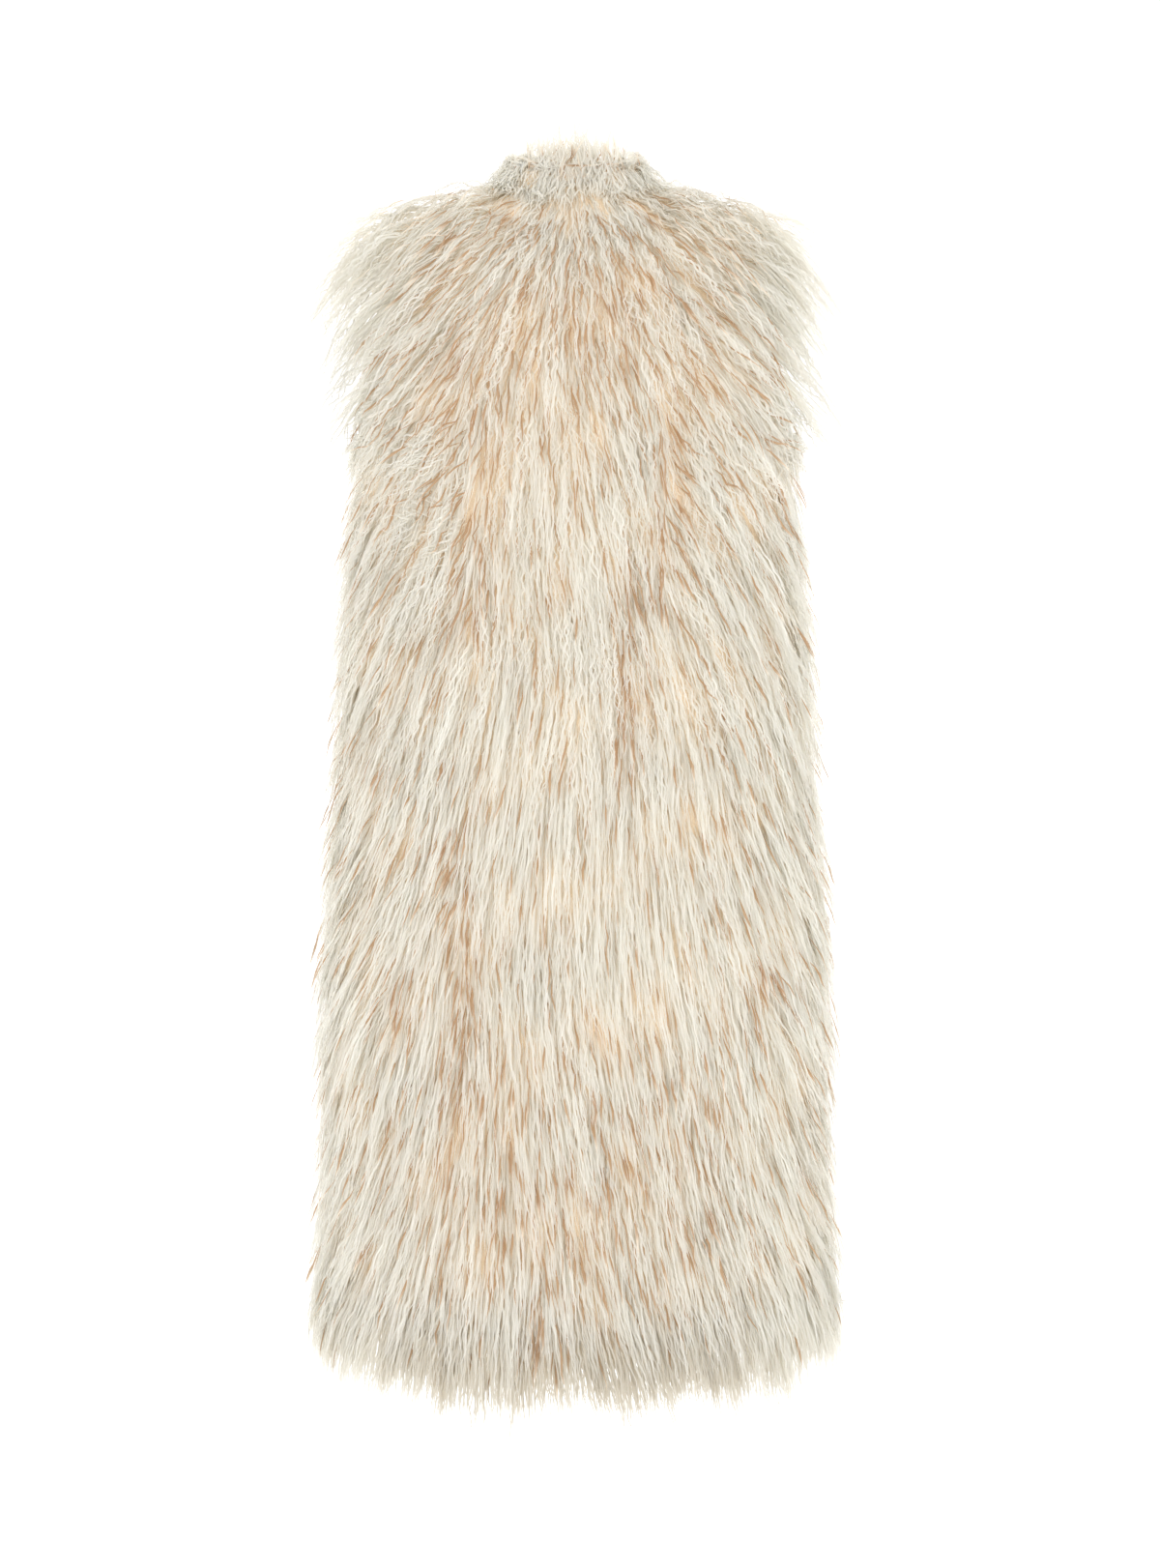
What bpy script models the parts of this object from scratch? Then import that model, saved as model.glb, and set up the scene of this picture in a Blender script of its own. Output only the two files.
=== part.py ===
"""A long sleeveless coat of long-pile cream fur cloth, hollow, as it hangs on its wearer.

Frame: +Z up, +Y the way the wearer faces, +X to the wearer's right, in metres. The origin is the
middle of the neck, level with the top of the shoulders, which carry the coat.

Each sewn panel is one wall. Its plain inside is the cloth. Its outside is the top of the pile, raised
into overlapping tufts, and it runs on past the cloth's hem and armholes as far as the pile hangs.
"""

import math
from collections import namedtuple

import bmesh
import bpy
import numpy as np

# Heights of the cut, measured up from the neck.
UNDERARM_Z = -0.235
NECK_POINT_Z = 0.000
NAPE_Z = -0.016
FRONT_NECK_Z = -0.072
SHOULDER_DROP = 0.038

# Reach of the pile below the cloth's hem, which is 50 mm higher.
HEM_BACK_Z = -1.086
HEM_SIDE_Z = -1.064
HEM_FRONT_Z = -1.080

# Half widths and depths of the neck and shoulders.
NECK_HALF_WIDTH = 0.071
NECK_BACK_DEPTH = 0.060
NECK_FRONT_DEPTH = 0.074
SHOULDER_HALF_WIDTH = 0.184

# How far the neck edge faces outward rather than up, at its middle and at the neck point.
NECK_EDGE_LEVEL = 0.80
NECK_POINT_LEVEL = 0.32

# The armhole: the share of the way round from the side that it is cut into the back and the front.
ARMHOLE_BACK_CUT = 0.30
ARMHOLE_FRONT_CUT = 0.34

# The cloth from hem to underarm, a row for each section.
Section = namedtuple("Section", "z half_width back_depth front_depth")
SECTIONS = (
    Section(z=-1.110, half_width=0.2190, back_depth=0.163, front_depth=0.153),
    Section(z=-1.000, half_width=0.2215, back_depth=0.160, front_depth=0.151),
    Section(z=-0.880, half_width=0.2150, back_depth=0.154, front_depth=0.146),
    Section(z=-0.770, half_width=0.2170, back_depth=0.149, front_depth=0.142),
    Section(z=-0.660, half_width=0.2135, back_depth=0.143, front_depth=0.138),
    Section(z=-0.550, half_width=0.2040, back_depth=0.135, front_depth=0.133),
    Section(z=-0.440, half_width=0.2010, back_depth=0.127, front_depth=0.128),
    Section(z=-0.340, half_width=0.1925, back_depth=0.124, front_depth=0.127),
    Section(z=-0.260, half_width=0.1880, back_depth=0.126, front_depth=0.128),
    Section(z=-0.180, half_width=0.1870, back_depth=0.128, front_depth=0.128),
)
SQUARENESS = 2.3

# The pile, which makes the wall thick.
PILE = 0.025
PILE_AT_NECK = 0.013
PILE_AT_SHOULDER = 0.021
PILE_AT_EDGE = 0.010
VALLEY_SHARE = 0.66
HEM_TAPER = 0.060
HEM_TIP = 0.014
SHOULDER_OVERHANG = 0.040
ARMHOLE_OVERHANG = 0.054
OVERHANG_STARTS = 0.70
OVERHANG_DROOP = 17.0
TUFT_UNEVENNESS = 0.16

# The stand collar.
COLLAR_HEIGHT = 0.040
COLLAR_TIP = 0.010
COLLAR_SWELL = 0.003
COLLAR_LEAN = 0.017
COLLAR_TOP_PILE = 0.008

SEAM_GAP = 0.0003
FRONT_OPENING = 0.008

# Grid lines of the walls. A tuft is 4 columns wide and 4 rows long. The inside has every second line.
TUFT = 4
INSIDE_STEP = 2
HALF_COLUMNS = 28
BACK_SEAM_COLUMN = 8
FRONT_NECK_COLUMN = 12
BODY_ROWS = 28
UPPER_ROWS = 12
ROWS = BODY_ROWS + UPPER_ROWS
COLLAR_ROWS = 4
UNDERARM_V = BODY_ROWS / ROWS
ACROSS_TUFT = (0.0, 0.62, 1.0, 0.62)
ALONG_TUFT = (1.0, 0.88, 0.55, 0.15)

BACK, FRONT = -1.0, 1.0
DEPTH_COLUMN = {BACK: "back_depth", FRONT: "front_depth"}
NECK_SHARE = {BACK: BACK_SEAM_COLUMN / HALF_COLUMNS, FRONT: FRONT_NECK_COLUMN / HALF_COLUMNS}
NECK_DEPTH = {BACK: NECK_BACK_DEPTH, FRONT: NECK_FRONT_DEPTH}
NECK_MIDDLE_Z = {BACK: NAPE_Z, FRONT: FRONT_NECK_Z}
HEM_MIDDLE_Z = {BACK: HEM_BACK_Z, FRONT: HEM_FRONT_Z}
ARMHOLE_CUT = {BACK: ARMHOLE_BACK_CUT, FRONT: ARMHOLE_FRONT_CUT}


def smooth_step(low, high, x):
    t = np.clip((x - low) / (high - low), 0.0, 1.0)
    return t * t * (3.0 - 2.0 * t)


def unit(vectors):
    return vectors / np.linalg.norm(vectors, axis=-1, keepdims=True)


def section_size(z, column):
    """One size of the cloth at height z, on a smooth curve through the table's rows."""
    zs = np.array([row.z for row in SECTIONS])
    sizes = np.array([getattr(row, column) for row in SECTIONS])
    slopes = np.gradient(sizes, zs)
    i = np.clip(np.searchsorted(zs, z) - 1, 0, len(zs) - 2)
    step = zs[i + 1] - zs[i]
    t = np.clip((z - zs[i]) / step, 0.0, 1.0)
    return (
        (1 + 2 * t) * (1 - t) ** 2 * sizes[i]
        + t * (1 - t) ** 2 * step * slopes[i]
        + t * t * (3 - 2 * t) * sizes[i + 1]
        + t * t * (t - 1) * step * slopes[i + 1]
    )


def ring(s, z, face):
    """x and y on the cloth's section at height z: s is 0 at the middle and 1 at the side."""
    angle = s * math.pi / 2
    power = 2 / SQUARENESS
    x = section_size(z, "half_width") * np.sin(angle) ** power
    y = face * section_size(z, DEPTH_COLUMN[face]) * np.clip(np.cos(angle), 0, 1) ** power
    return x, y


def top_edge(s, face):
    """The neck seam from the middle to the neck point, and the shoulder seam from there to its tip."""
    share = NECK_SHARE[face]
    angle = np.clip(s / share, 0, 1) * math.pi / 2
    along = np.clip((s - share) / (1 - share), 0, 1)
    x = NECK_HALF_WIDTH * np.sin(angle) + along * (SHOULDER_HALF_WIDTH - NECK_HALF_WIDTH)
    y = face * NECK_DEPTH[face] * np.cos(angle)
    middle = NECK_MIDDLE_Z[face]
    z = middle + (NECK_POINT_Z - middle) * np.sin(angle) ** 2 - SHOULDER_DROP * along
    return x, np.where(along > 0, 0.0, y), z


def panel_point(s, v, face):
    """A point of the wall's inside on the right half: v runs from the hem up to the neck or shoulder."""
    s, v = np.broadcast_arrays(np.asarray(s, float), np.asarray(v, float))
    w = np.clip((v - UNDERARM_V) / (1 - UNDERARM_V), 0, 1)
    column = s
    from_seam = np.clip((s - NECK_SHARE[BACK]) / (1 - NECK_SHARE[BACK]), 0, 1)
    swell = np.clip(np.sin(math.pi * w), 0, 1)
    cut = (1.12 - 0.3 * w) * swell ** (0.5 + 0.5 * smooth_step(0.3, 1.0, w))
    s = s - ARMHOLE_CUT[face] * cut * from_seam
    hem_z = HEM_SIDE_Z + (HEM_MIDDLE_Z[face] - HEM_SIDE_Z) * np.cos(s * math.pi / 2) ** 2
    z = hem_z + (UNDERARM_Z - hem_z) * np.clip(v / UNDERARM_V, 0, 1)
    x, y = ring(s, z, face)
    top_x, top_y, top_z = top_edge(s, face)
    roundness = 1.0 - 0.48 * smooth_step(0.0, 1.2 * NECK_SHARE[face], s)
    x = x + (top_x - x) * w**2
    y = top_y + (y - top_y) * (1 - w**2.3) ** roundness
    z = z + (top_z - z) * w
    reach = SHOULDER_OVERHANG + (ARMHOLE_OVERHANG - SHOULDER_OVERHANG) * swell
    out = reach * smooth_step(OVERHANG_STARTS, 1.0, column) * smooth_step(0.0, 0.4, w)
    return np.stack([x + out, y + face * 0.3 * out * (1 - w), z - OVERHANG_DROOP * out**2], axis=-1)


def panel_normal(s, v, face):
    """The wall's outward direction there, flat in the plane of the side and shoulder seams."""
    step = 1e-3
    s, v = np.broadcast_arrays(np.asarray(s, float), np.asarray(v, float))
    s_low, s_high = np.clip(s - step, 1e-6, 1), np.clip(s + step, 1e-6, 1)
    body = v <= UNDERARM_V + 1e-9
    v_low = np.where(body, np.clip(v - step, 0, 1), np.maximum(v - step, UNDERARM_V))
    v_high = np.where(body, np.minimum(v + step, UNDERARM_V), np.clip(v + step, 0, 1))
    across = panel_point(s_high, v, face) - panel_point(s_low, v, face)
    up = panel_point(s, v_high, face) - panel_point(s, v_low, face)
    normal = unit(np.cross(across, up)) * (-face)
    on_middle = s < 2 * step
    on_side = (s > 1 - 2 * step) & body
    on_shoulder = (v > 1 - 2 * step) & (s >= NECK_SHARE[face] - 2 * step)
    normal[on_middle, 0] = 0.0
    normal[on_side | on_shoulder, 1] = 0.0
    on_neck = (v > 1 - 2 * step) & (s <= NECK_SHARE[face] + 2 * step)
    angle = np.clip(s / NECK_SHARE[face], 0, 1) * math.pi / 2
    level = NECK_EDGE_LEVEL * np.cos(angle) + NECK_POINT_LEVEL * np.sin(angle)
    rise = np.sqrt(1 - level**2)
    neck_normal = np.stack([level * np.sin(angle), face * level * np.cos(angle), rise], axis=-1)
    return unit(np.where(on_neck[..., None], neck_normal, normal))


def pile_depth(s, v, face):
    """How thick the pile lies over the cloth, thin at the neck, the hem's tips and the armhole."""
    w = np.clip((v - UNDERARM_V) / (1 - UNDERARM_V), 0, 1)
    at_top = PILE_AT_NECK + (PILE_AT_SHOULDER - PILE_AT_NECK) * smooth_step(NECK_SHARE[face], 0.8, s)
    depth = PILE + (at_top - PILE) * smooth_step(0.45, 1.0, w)
    z = panel_point(s, v, face)[..., 2]
    hem_z = panel_point(s, np.zeros_like(v), face)[..., 2]
    to_hem = smooth_step(0.0, HEM_TAPER, z - hem_z)
    to_armhole = 1 - smooth_step(0.85, 1.0, s) * smooth_step(0.05, 0.4, w)
    edge = np.minimum(to_hem, to_armhole)
    return PILE_AT_EDGE + (depth - PILE_AT_EDGE) * edge


def tuft_height(columns, rows, seed):
    """Raised tufts over a grid, 0 in the valleys and 1 on the ridges, each row half a tuft along."""
    uneven = np.random.default_rng(seed).uniform(-1, 1, (rows // TUFT + 1, columns // TUFT + 2))
    height = np.zeros((rows + 1, columns + 1))
    for row in range(rows + 1):
        tuft_row = row // TUFT
        shift = (tuft_row % 2) * (TUFT // 2)
        for column in range(1, columns):
            place = column + shift
            strength = 1 + TUFT_UNEVENNESS * uneven[tuft_row, place // TUFT]
            height[row, column] = ACROSS_TUFT[place % TUFT] * ALONG_TUFT[row % TUFT] * strength
    return height


def raised(inside, normal, depth, tufts):
    """The pile's outer points, with the hem's lowest row drawn down into lock tips."""
    share = VALLEY_SHARE + (1 - VALLEY_SHARE) * tufts
    outside = inside + normal * (depth * share)[..., None]
    outside[0, :, 2] -= HEM_TIP * tufts[0]
    return outside


def fan(inner, outer, faces):
    """Joins an inner edge to an outer edge that has INSIDE_STEP times as many steps."""
    for i in range(len(inner) - 1):
        first, last = i * INSIDE_STEP, (i + 1) * INSIDE_STEP
        middle = (first + last) // 2
        for j in range(first, middle):
            faces.append((inner[i], outer[j], outer[j + 1]))
        faces.append((inner[i], outer[middle], inner[i + 1]))
        for j in range(middle, last):
            faces.append((inner[i + 1], outer[j], outer[j + 1]))


def wall_object(name, inside, outside, material):
    """A closed wall between a fine outer grid and a plainer inner one."""
    plain = inside[::INSIDE_STEP, ::INSIDE_STEP]
    points = np.concatenate([outside.reshape(-1, 3), plain.reshape(-1, 3)])
    outer = np.arange(outside.shape[0] * outside.shape[1]).reshape(outside.shape[:2])
    inner = outer.size + np.arange(plain.shape[0] * plain.shape[1]).reshape(plain.shape[:2])
    faces = []
    for grid in (outer, inner):
        corners = (grid[:-1, :-1], grid[:-1, 1:], grid[1:, 1:], grid[1:, :-1])
        faces += [tuple(face) for face in np.stack(corners, axis=-1).reshape(-1, 4).tolist()]
    for edge in ((0, slice(None)), (-1, slice(None)), (slice(None), 0), (slice(None), -1)):
        fan(inner[edge].tolist(), outer[edge].tolist(), faces)
    mesh = bpy.data.meshes.new(name)
    mesh.from_pydata(points.tolist(), [], faces)
    shell = bmesh.new()
    shell.from_mesh(mesh)
    bmesh.ops.recalc_face_normals(shell, faces=shell.faces)
    shell.to_mesh(mesh)
    shell.free()
    mesh.materials.append(material)
    mesh.shade_smooth()
    mesh.set_sharp_from_angle(angle=math.radians(50))
    obj = bpy.data.objects.new(name, mesh)
    bpy.context.scene.collection.objects.link(obj)
    return obj


def mirrored(grid):
    """The same grid on the left half."""
    return grid * np.array([-1.0, 1.0, 1.0])


def half_grid(face, first, last):
    """Inside points, normals and pile depth on the right half, between two columns."""
    s, v = np.meshgrid(np.arange(first, last + 1) / HALF_COLUMNS, np.arange(ROWS + 1) / ROWS)
    if face == FRONT:
        share = FRONT_OPENING / 2 / section_size(UNDERARM_Z, "half_width")
        s = np.maximum(s, share ** (SQUARENESS / 2) * 2 / math.pi)
    return panel_point(s, v, face), panel_normal(s, v, face), pile_depth(s, v, face)


def open_seams(inside, outside, moves):
    """Draws the first column, last column and top row of a wall in by half a seam's gap."""
    for edge, inner_line, move in moves:
        for grid in (inside, outside):
            if move is None:
                grid[edge] += unit(grid[inner_line] - grid[edge]) * SEAM_GAP / 2
            else:
                grid[edge] += np.array(move) * SEAM_GAP / 2


FIRST, SECOND = (slice(None), 0), (slice(None), 1)
LAST, NEXT_TO_LAST = (slice(None), -1), (slice(None), -2)
SIDE_SEAM = (slice(0, BODY_ROWS + 1), -1)
SHOULDER_SEAM = {BACK: (-1, slice(None)), FRONT: (-1, slice(FRONT_NECK_COLUMN, None))}


def make_back_center(material):
    """The middle of the back, from neck point to neck point, between the two back seams."""
    inside, normal, depth = half_grid(BACK, 0, BACK_SEAM_COLUMN)
    inside = np.concatenate([mirrored(inside)[:, :0:-1], inside], axis=1)
    normal = np.concatenate([mirrored(normal)[:, :0:-1], normal], axis=1)
    depth = np.concatenate([depth[:, :0:-1], depth], axis=1)
    outside = raised(inside, normal, depth, tuft_height(2 * BACK_SEAM_COLUMN, ROWS, seed=1))
    open_seams(inside, outside, ((FIRST, SECOND, None), (LAST, NEXT_TO_LAST, None)))
    wall_object("back_center", inside, outside, material)
    return inside[-1], outside[-1]


def make_back_side(name, side, material):
    """One side of the back, from the back seam round to the side seam, shoulder and armhole."""
    inside, normal, depth = half_grid(BACK, BACK_SEAM_COLUMN, HALF_COLUMNS)
    tufts = tuft_height(HALF_COLUMNS - BACK_SEAM_COLUMN, ROWS, seed=2)
    outside = raised(inside, normal, depth, tufts)
    backwards = (0, BACK, 0)
    open_seams(
        inside,
        outside,
        ((FIRST, SECOND, None), (SIDE_SEAM, None, backwards), (SHOULDER_SEAM[BACK], None, backwards)),
    )
    if side < 0:
        inside, outside = mirrored(inside), mirrored(outside)
    wall_object(name, inside, outside, material)


def make_front(name, side, material):
    """One front, from its free edge round to the side seam, with half the front neck."""
    inside, normal, depth = half_grid(FRONT, 0, HALF_COLUMNS)
    outside = raised(inside, normal, depth, tuft_height(HALF_COLUMNS, ROWS, seed=3))
    forwards = (0, FRONT, 0)
    open_seams(
        inside,
        outside,
        ((SIDE_SEAM, None, forwards), (SHOULDER_SEAM[FRONT], None, forwards)),
    )
    if side < 0:
        inside, outside = mirrored(inside), mirrored(outside)
    wall_object(name, inside, outside, material)
    return inside[-1], outside[-1]


def make_collar(back_edge, front_edge, material):
    """The stand collar, made from the panels' own neck edges, open at the front."""
    half = FRONT_NECK_COLUMN
    front_inside, front_outside = (line[:half] for line in front_edge)
    low_inside = np.concatenate([mirrored(front_inside), back_edge[0], front_inside[::-1]])
    low_outside = np.concatenate([mirrored(front_outside), back_edge[1], front_outside[::-1]])
    along = unit(np.gradient(low_inside, axis=0))
    through = unit(low_outside - low_inside)
    to_neck = unit(np.cross(along, through))
    to_neck *= np.sign(-(to_neck[:, :2] * low_inside[:, :2]).sum(axis=1) + to_neck[:, 2])[:, None]
    low_inside = low_inside + to_neck * SEAM_GAP
    low_outside = low_outside + to_neck * SEAM_GAP
    outward = unit(low_inside * np.array([1.0, 1.0, 0.0]))
    columns = len(low_inside) - 1
    tufts = tuft_height(columns, 0, seed=4)[0]
    high = low_inside + np.array([0, 0, COLLAR_HEIGHT]) - outward * COLLAR_LEAN
    high_outside = high + outward * COLLAR_TOP_PILE
    high_outside[:, 2] += COLLAR_TIP * tufts
    inside, outside = [], []
    for row in range(COLLAR_ROWS + 1):
        share = row / COLLAR_ROWS
        inside.append(low_inside + (high - low_inside) * share)
        swell = COLLAR_SWELL * math.sin(math.pi * share) * (0.5 + 0.5 * tufts)
        outside.append(low_outside + (high_outside - low_outside) * share + outward * swell[:, None])
    wall_object("collar", np.array(inside), np.array(outside), material)


def fur_material(name, colour):
    material = bpy.data.materials.new(name)
    material.use_nodes = True
    shader = material.node_tree.nodes["Principled BSDF"]
    shader.inputs["Base Color"].default_value = (*colour, 1.0)
    shader.inputs["Roughness"].default_value = 0.75
    shader.inputs["Metallic"].default_value = 0.0
    return material


def main():
    for obj in list(bpy.data.objects):
        bpy.data.objects.remove(obj)
    fur = fur_material("cream_fur", (0.76, 0.70, 0.57))
    collar_fur = fur_material("collar_fur", (0.78, 0.73, 0.62))
    back_edge = make_back_center(fur)
    make_back_side("back_side_right", 1, fur)
    make_back_side("back_side_left", -1, fur)
    front_edge = make_front("front_right", 1, fur)
    make_front("front_left", -1, fur)
    make_collar(back_edge, front_edge, collar_fur)


main()
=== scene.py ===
"""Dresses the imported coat: a thin backing cloth for each sewn panel, and its pile as combed locks."""

import math
from collections import namedtuple
from functools import partial

import bpy
import numpy as np
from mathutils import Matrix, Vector
from mathutils.bvhtree import BVHTree


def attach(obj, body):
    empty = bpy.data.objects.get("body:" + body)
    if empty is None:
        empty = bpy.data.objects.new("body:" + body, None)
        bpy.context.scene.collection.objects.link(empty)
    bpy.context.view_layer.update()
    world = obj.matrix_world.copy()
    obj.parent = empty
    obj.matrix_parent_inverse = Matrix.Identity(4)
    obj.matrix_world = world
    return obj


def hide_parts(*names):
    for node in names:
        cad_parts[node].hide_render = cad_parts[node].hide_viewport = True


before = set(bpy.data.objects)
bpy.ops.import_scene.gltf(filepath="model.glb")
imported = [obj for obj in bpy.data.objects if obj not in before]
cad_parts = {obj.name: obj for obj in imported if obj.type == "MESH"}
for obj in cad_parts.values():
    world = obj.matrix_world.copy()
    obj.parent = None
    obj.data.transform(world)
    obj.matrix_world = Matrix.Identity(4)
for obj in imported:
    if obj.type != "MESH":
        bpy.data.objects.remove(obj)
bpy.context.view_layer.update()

SEED = 11

# The cloth's form, the same as the solids' insides, in metres.
UNDERARM_Z = -0.235
NECK_POINT_Z = 0.000
NAPE_Z = -0.016
FRONT_NECK_Z = -0.072
SHOULDER_DROP = 0.038
HEM_BACK_Z = -1.086
HEM_SIDE_Z = -1.064
HEM_FRONT_Z = -1.080
PILE_PAST_HEM = 0.046
NECK_HALF_WIDTH = 0.071
NECK_BACK_DEPTH = 0.060
NECK_FRONT_DEPTH = 0.074
SHOULDER_HALF_WIDTH = 0.184
SHOULDER_FLATNESS = 0.48
SHOULDER_BEND = 2.3
ARMHOLE_BACK_CUT = 0.30
ARMHOLE_FRONT_CUT = 0.34
ARMHOLE_FULLNESS = 1.12
ARMHOLE_TAPER = 0.30
COLLAR_HEIGHT = 0.027
COLLAR_LEAN = 0.013
COLLAR_LIFT = 0.0004
COLLAR_BACK_SHARE = 0.45
COLLAR_END = 0.985
FRONT_EDGE = 0.010
CLOTH = 0.0016
Section = namedtuple("Section", "z half_width back_depth front_depth")
SECTIONS = (
    Section(z=-1.110, half_width=0.2190, back_depth=0.163, front_depth=0.153),
    Section(z=-1.000, half_width=0.2215, back_depth=0.160, front_depth=0.151),
    Section(z=-0.880, half_width=0.2150, back_depth=0.154, front_depth=0.146),
    Section(z=-0.770, half_width=0.2170, back_depth=0.149, front_depth=0.142),
    Section(z=-0.660, half_width=0.2135, back_depth=0.143, front_depth=0.138),
    Section(z=-0.550, half_width=0.2040, back_depth=0.135, front_depth=0.133),
    Section(z=-0.440, half_width=0.2010, back_depth=0.127, front_depth=0.128),
    Section(z=-0.340, half_width=0.1925, back_depth=0.124, front_depth=0.127),
    Section(z=-0.260, half_width=0.1880, back_depth=0.126, front_depth=0.128),
    Section(z=-0.180, half_width=0.1870, back_depth=0.128, front_depth=0.128),
)
SQUARENESS = 2.3
UNDERARM_V = 0.72
BACK, FRONT = -1.0, 1.0
DEPTH_COLUMN = {BACK: "back_depth", FRONT: "front_depth"}
BACK_SEAM = 8 / 28
NECK_SHARE = {BACK: BACK_SEAM, FRONT: 12 / 28}
NECK_DEPTH = {BACK: NECK_BACK_DEPTH, FRONT: NECK_FRONT_DEPTH}
NECK_MIDDLE_Z = {BACK: NAPE_Z, FRONT: FRONT_NECK_Z}
HEM_MIDDLE_Z = {BACK: HEM_BACK_Z, FRONT: HEM_FRONT_Z}
ARMHOLE_CUT = {BACK: ARMHOLE_BACK_CUT, FRONT: ARMHOLE_FRONT_CUT}
TANGENT_STEP = 2e-3
SHARP_ANGLE = math.radians(45)

# The sewn panels: s runs from the middle, 0, to the side, 1, and is negative on the back's left half.
Panel = namedtuple("Panel", "name face mirror first last columns locks")
PANELS = (
    Panel("back_center", BACK, mirror=1, first=-BACK_SEAM, last=BACK_SEAM, columns=20, locks=860),
    Panel("back_side_left", BACK, mirror=-1, first=BACK_SEAM, last=1.0, columns=26, locks=870),
    Panel("back_side_right", BACK, mirror=1, first=BACK_SEAM, last=1.0, columns=26, locks=870),
    Panel("front_left", FRONT, mirror=-1, first=FRONT_EDGE, last=1.0, columns=36, locks=880),
    Panel("front_right", FRONT, mirror=1, first=FRONT_EDGE, last=1.0, columns=36, locks=880),
)
COLLAR_LOCKS = 340
PANEL_ROWS = 40
COLLAR_COLUMNS = 60
COLLAR_ROWS = 6

# The pile: a fine layer under two crimped ones, and slits, which are dark lens-shaped strands painted with
# the shade where one sees down between the locks. In a layer, share is of a panel's locks, width is a
# strand's and half_width a lock's, low and high bound how far locks rise, wave is the size of the crimp, top
# and bottom bound where locks root, and deep is how far the colour sinks toward the slits' painted shade.
ABOVE_ALL, WAIST_Z, BELOW_ALL = 1.0, -0.5, -2.0
Layer = namedtuple(
    "Layer", "name share strands steps width half_width low high wave wave_length top bottom deep"
)
LAYERS = (
    Layer(
        name="under", share=0.80, strands=7, steps=6, width=0.0019, half_width=0.0090, low=0.25, high=0.80,
        wave=0.0011, wave_length=0.034, top=ABOVE_ALL, bottom=BELOW_ALL, deep=-0.15,
    ),
    Layer(
        name="upper", share=0.92, strands=5, steps=18, width=0.0016, half_width=0.0070, low=0.50, high=1.12,
        wave=0.0012, wave_length=0.018, top=ABOVE_ALL, bottom=WAIST_Z, deep=0.0,
    ),
    Layer(
        name="lower", share=0.92, strands=5, steps=12, width=0.0016, half_width=0.0070, low=0.50, high=1.12,
        wave=0.0010, wave_length=0.026, top=WAIST_Z, bottom=BELOW_ALL, deep=0.0,
    ),
    # Slits: dark strands of painted shade.
    Layer(
        name="slits", share=1.25, strands=1, steps=6, width=0.0025, half_width=0.0040, low=0.76, high=1.04,
        wave=0.0008, wave_length=0.030, top=ABOVE_ALL, bottom=BELOW_ALL, deep=1.0,
    ),
)
Locks = namedtuple("Locks", "root normal flow length rise full stand pull tone ruffle paler")
Strands = namedtuple("Strands", "left right left_normal right_normal tones levels")
SPREAD_STEPS = (0.8191725134, 0.6710436067, 0.5497004779)
SPREAD_TRIES = 8
NOISE_WAVES = 7
NOISE_SCALE = 2.6
NOISE_RATES = (0.6, 1.5)
# Size and seed of each field of soft noise.
COMB_NOISE, COMB_FINE_NOISE, HEM_NOISE, TONE_NOISE = (0.16, 3), (0.05, 4), (0.03, 6), (0.12, 9)

# The locks: their size, and how they are walked over the cloth.
LOCK_LENGTH = 0.096
LOCK_LENGTH_SPREAD = 0.14
LEAST_LENGTH = 0.040
NECK_SHORTER = 0.3
ARMHOLE_LONGER = 0.14
SLIT_LENGTH_SHARE = 0.62
LOCK_RISE = 0.022
NECK_LOWER = 0.4
SIDE_SWELL, SIDE_SWELL_LOW = 0.08, 0.12
RIDGE_RISE = (0.1, 0.5)
SHOULDER_END_RISE = 0.45
LOCK_STAND, RIDGE_STAND = 2.2, 3.0
LOCK_DEPTH = 0.003
LOCK_STAGGER = 0.15
GUIDE_STEPS = 9
GRAVITY = 0.035
PULL_PAST_EDGE = 3.0
EDGE_GAP = 0.004
ROOT_LIFT, TIP_LIFT = 0.6, 0.2
STIFFNESS, COMBED = 0.7, 0.3
HEM_DROP, HEM_SIDE_RAISE, HEM_RAGGED = 0.017, 0.008, 0.008
HEM_SLACK, HEM_LEAST_DROP = 1.08, 0.6
SIDE_REACH = 0.236
SIDE_SOFTNESS = 0.025

# The comb: away from the neck, straighter in the middle and below the arms, and outward low at the sides.
COMB_CENTRE_Z = 0.050
COMB_LEAST_DROP = 0.02
COMB_STRAIGHTER, STRAIGHTER_X, STRAIGHTER_Z = 0.35, (0.04, 0.14), (-0.10, -0.20)
COMB_LOW_OUT, LOW_OUT_X, LOW_OUT_Z = math.radians(9), 0.2, (-0.55, -0.75)
COMB_BELOW_ARMS, BELOW_ARMS_Z, BELOW_ARMS_FACING = 0.85, (-0.20, -0.28), (0.1, 0.5)
COMB_AT_ARMHOLE = math.radians(24)
COMB_PATCHES, COMB_FINE_PATCHES = math.radians(4), math.radians(2.5)
COMB_SPREAD = math.radians(2)
RUFFLE_HIGH, RUFFLE_HIGH_Z, RUFFLE_AT_ARMHOLE = 0.5, (-0.45, -0.20), 0.4

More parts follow.
